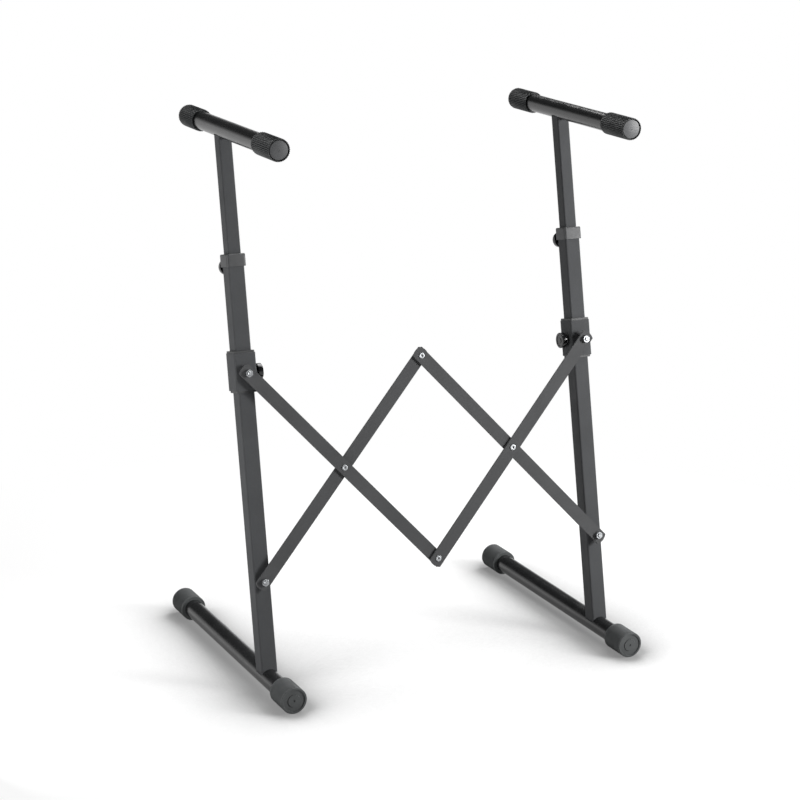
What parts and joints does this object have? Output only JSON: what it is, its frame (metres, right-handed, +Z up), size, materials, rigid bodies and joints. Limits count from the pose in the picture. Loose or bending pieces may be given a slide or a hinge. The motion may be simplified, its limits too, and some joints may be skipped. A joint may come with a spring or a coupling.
{
  "type": "folding keyboard stand",
  "caption": "Folding keyboard stand: two leaning telescopic legs on round feet, joined by a flat-bar scissor lattice that rides on lockable sliders, with ribbed grips on its arms.",
  "frame": {"origin": "on the floor, midway between the four foot caps", "axes": "+X from the left leg to the right leg, -Y to the front, where the feet are short and the arms long, +Z up"},
  "size_m": [0.5946, 0.459, 0.8201],
  "materials": {
    "frame_paint": "satin dark grey paint",
    "bar_paint": "satin dark grey paint",
    "cap_rubber": "fine knurl",
    "grip_rubber": "fine ribs",
    "collar_plastic": "satin",
    "liner_plastic": "matt",
    "knob_plastic": "glossy black",
    "plug_plastic": "satin grey",
    "washer_plastic": "matt black",
    "spacer_steel": "black",
    "zinc": "bright zinc plate"
  },
  "bodies": {
    "left_leg": {"left_foot_tube": "frame_paint", "left_foot_cap_front": "cap_rubber", "left_foot_cap_rear": "cap_rubber", "left_lower_tube": "frame_paint", "left_collar": "collar_plastic", "left_height_nut": "zinc", "left_lower_pivot_bolt": "zinc", "left_lower_pivot_spacer": "spacer_steel", "left_lower_pivot_nut": "zinc"},
    "left_upper": {"left_upper_tube": "frame_paint", "left_upper_guide": "liner_plastic", "left_arm_tube": "frame_paint", "left_arm_grip_front": "grip_rubber", "left_arm_grip_rear": "grip_rubber", "left_arm_plugs": "plug_plastic"},
    "left_slider": {"left_slider_box": "frame_paint", "left_slider_liner": "liner_plastic", "left_slider_nut": "zinc", "left_upper_pivot_bolt": "zinc", "left_upper_pivot_spacer": "spacer_steel", "left_upper_pivot_nut": "zinc"},
    "left_height_knob": {"left_height_knob": "knob_plastic"},
    "left_height_screw": {"left_height_stud": "zinc"},
    "left_slider_knob": {"left_slider_knob": "knob_plastic"},
    "left_slider_screw": {"left_slider_stud": "zinc"},
    "right_leg": {"right_foot_tube": "frame_paint", "right_foot_cap_front": "cap_rubber", "right_foot_cap_rear": "cap_rubber", "right_lower_tube": "frame_paint", "right_collar": "collar_plastic", "right_height_nut": "zinc", "right_lower_pivot_bolt": "zinc", "right_lower_pivot_spacer": "spacer_steel", "right_lower_pivot_nut": "zinc"},
    "right_upper": {"right_upper_tube": "frame_paint", "right_upper_guide": "liner_plastic", "right_arm_tube": "frame_paint", "right_arm_grip_front": "grip_rubber", "right_arm_grip_rear": "grip_rubber", "right_arm_plugs": "plug_plastic"},
    "right_slider": {"right_slider_box": "frame_paint", "right_slider_liner": "liner_plastic", "right_slider_nut": "zinc", "right_upper_pivot_bolt": "zinc", "right_upper_pivot_spacer": "spacer_steel", "right_upper_pivot_nut": "zinc"},
    "right_height_knob": {"right_height_knob": "knob_plastic"},
    "right_height_screw": {"right_height_stud": "zinc"},
    "right_slider_knob": {"right_slider_knob": "knob_plastic"},
    "right_slider_screw": {"right_slider_stud": "zinc"},
    "left_low_link": {"left_low_bar": "bar_paint", "left_low_bar_washers": "washer_plastic", "top_rivet": "zinc", "left_rivet": "zinc"},
    "left_high_link": {"left_high_bar": "bar_paint"},
    "right_low_link": {"right_low_bar": "bar_paint", "right_rivet": "zinc"},
    "right_high_link": {"right_high_bar": "bar_paint", "right_high_bar_washers": "washer_plastic", "bottom_rivet": "zinc"}
  },
  "joints": [
    {"name": "fold", "type": "hinge", "parent": "left_leg", "child": "left_low_link", "pos_m": [-0.2775, -0.11435, 0.1619], "axis": [0, -0.9778, 0.2096], "range_deg": [-22.5, 37]},
    {"name": "left_cross_pivot", "type": "hinge", "parent": "left_low_link", "child": "left_high_link", "pos_m": [-0.13875, -0.08232, 0.3113], "axis": [0, -0.9778, 0.2096], "range_deg": [-75, 46]},
    {"name": "top_pivot", "type": "hinge", "parent": "left_low_link", "child": "right_low_link", "pos_m": [0, -0.05029, 0.46071], "axis": [0, -0.9778, 0.2096], "range_deg": [-75, 46]},
    {"name": "right_cross_pivot", "type": "hinge", "parent": "right_low_link", "child": "right_high_link", "pos_m": [0.13875, -0.08232, 0.3113], "axis": [0, -0.9778, 0.2096], "range_deg": [-46, 75]},
    {"name": "right_foot_pivot", "type": "hinge", "parent": "right_low_link", "child": "right_leg", "pos_m": [0.2775, -0.11435, 0.1619], "axis": [0, -0.9778, 0.2096], "range_deg": [-23.5, 38]},
    {"name": "left_slider_pivot", "type": "hinge", "parent": "left_high_link", "child": "left_slider", "pos_m": [-0.2775, -0.05029, 0.46071], "axis": [0, -0.9778, 0.2096], "range_deg": [-23.5, 38]},
    {"name": "right_slider_pivot", "type": "hinge", "parent": "right_high_link", "child": "right_slider", "pos_m": [0.2775, -0.05029, 0.46071], "axis": [0, -0.9778, 0.2096], "range_deg": [-38, 23.5]},
    {"name": "left_height", "type": "slide", "parent": "left_leg", "child": "left_upper", "axis": [0, 0.2096, 0.9778], "range_m": [-0.16, 0.14]},
    {"name": "left_height_screw_travel", "type": "slide", "parent": "left_leg", "child": "left_height_screw", "axis": [0, 0.9778, -0.2096], "range_m": [0, 0.002]},
    {"name": "left_height_knob_turn", "type": "hinge", "parent": "left_height_screw", "child": "left_height_knob", "pos_m": [-0.2775, 0.02696, 0.60256], "axis": [0, 0.9778, -0.2096], "range_deg": [0, 724]},
    {"name": "left_slider_screw_travel", "type": "slide", "parent": "left_slider", "child": "left_slider_screw", "axis": [1, 0, 0], "range_m": [0, 0.002]},
    {"name": "left_slider_knob_turn", "type": "hinge", "parent": "left_slider_screw", "child": "left_slider_knob", "pos_m": [-0.2525, -0.0324, 0.45688], "axis": [1, 0, 0], "range_deg": [0, 724]},
    {"name": "right_height", "type": "slide", "parent": "right_leg", "child": "right_upper", "axis": [0, 0.2096, 0.9778], "range_m": [-0.16, 0.14]},
    {"name": "right_height_screw_travel", "type": "slide", "parent": "right_leg", "child": "right_height_screw", "axis": [0, 0.9778, -0.2096], "range_m": [0, 0.002]},
    {"name": "right_height_knob_turn", "type": "hinge", "parent": "right_height_screw", "child": "right_height_knob", "pos_m": [0.2775, 0.02696, 0.60256], "axis": [0, 0.9778, -0.2096], "range_deg": [0, 724]},
    {"name": "right_slider_screw_travel", "type": "slide", "parent": "right_slider", "child": "right_slider_screw", "axis": [-1, 0, 0], "range_m": [0, 0.002]},
    {"name": "right_slider_knob_turn", "type": "hinge", "parent": "right_slider_screw", "child": "right_slider_knob", "pos_m": [0.2525, -0.0324, 0.45688], "axis": [-1, 0, 0], "range_deg": [0, 724]}
  ],
  "couplings": [
    {"joint": "left_cross_pivot", "follows": "fold", "ratio": -2},
    {"joint": "top_pivot", "follows": "fold", "ratio": -2},
    {"joint": "right_cross_pivot", "follows": "fold", "ratio": 2},
    {"joint": "right_foot_pivot", "follows": "fold", "ratio": 1},
    {"joint": "left_slider_pivot", "follows": "fold", "ratio": 1},
    {"joint": "right_slider_pivot", "follows": "fold", "ratio": -1},
    {"joint": "left_height_knob_turn", "follows": "left_height_screw_travel", "rad_per_m": 6283.2},
    {"joint": "left_slider_knob_turn", "follows": "left_slider_screw_travel", "rad_per_m": 6283.2},
    {"joint": "right_height_knob_turn", "follows": "right_height_screw_travel", "rad_per_m": 6283.2},
    {"joint": "right_slider_knob_turn", "follows": "right_slider_screw_travel", "rad_per_m": 6283.2}
  ]
}
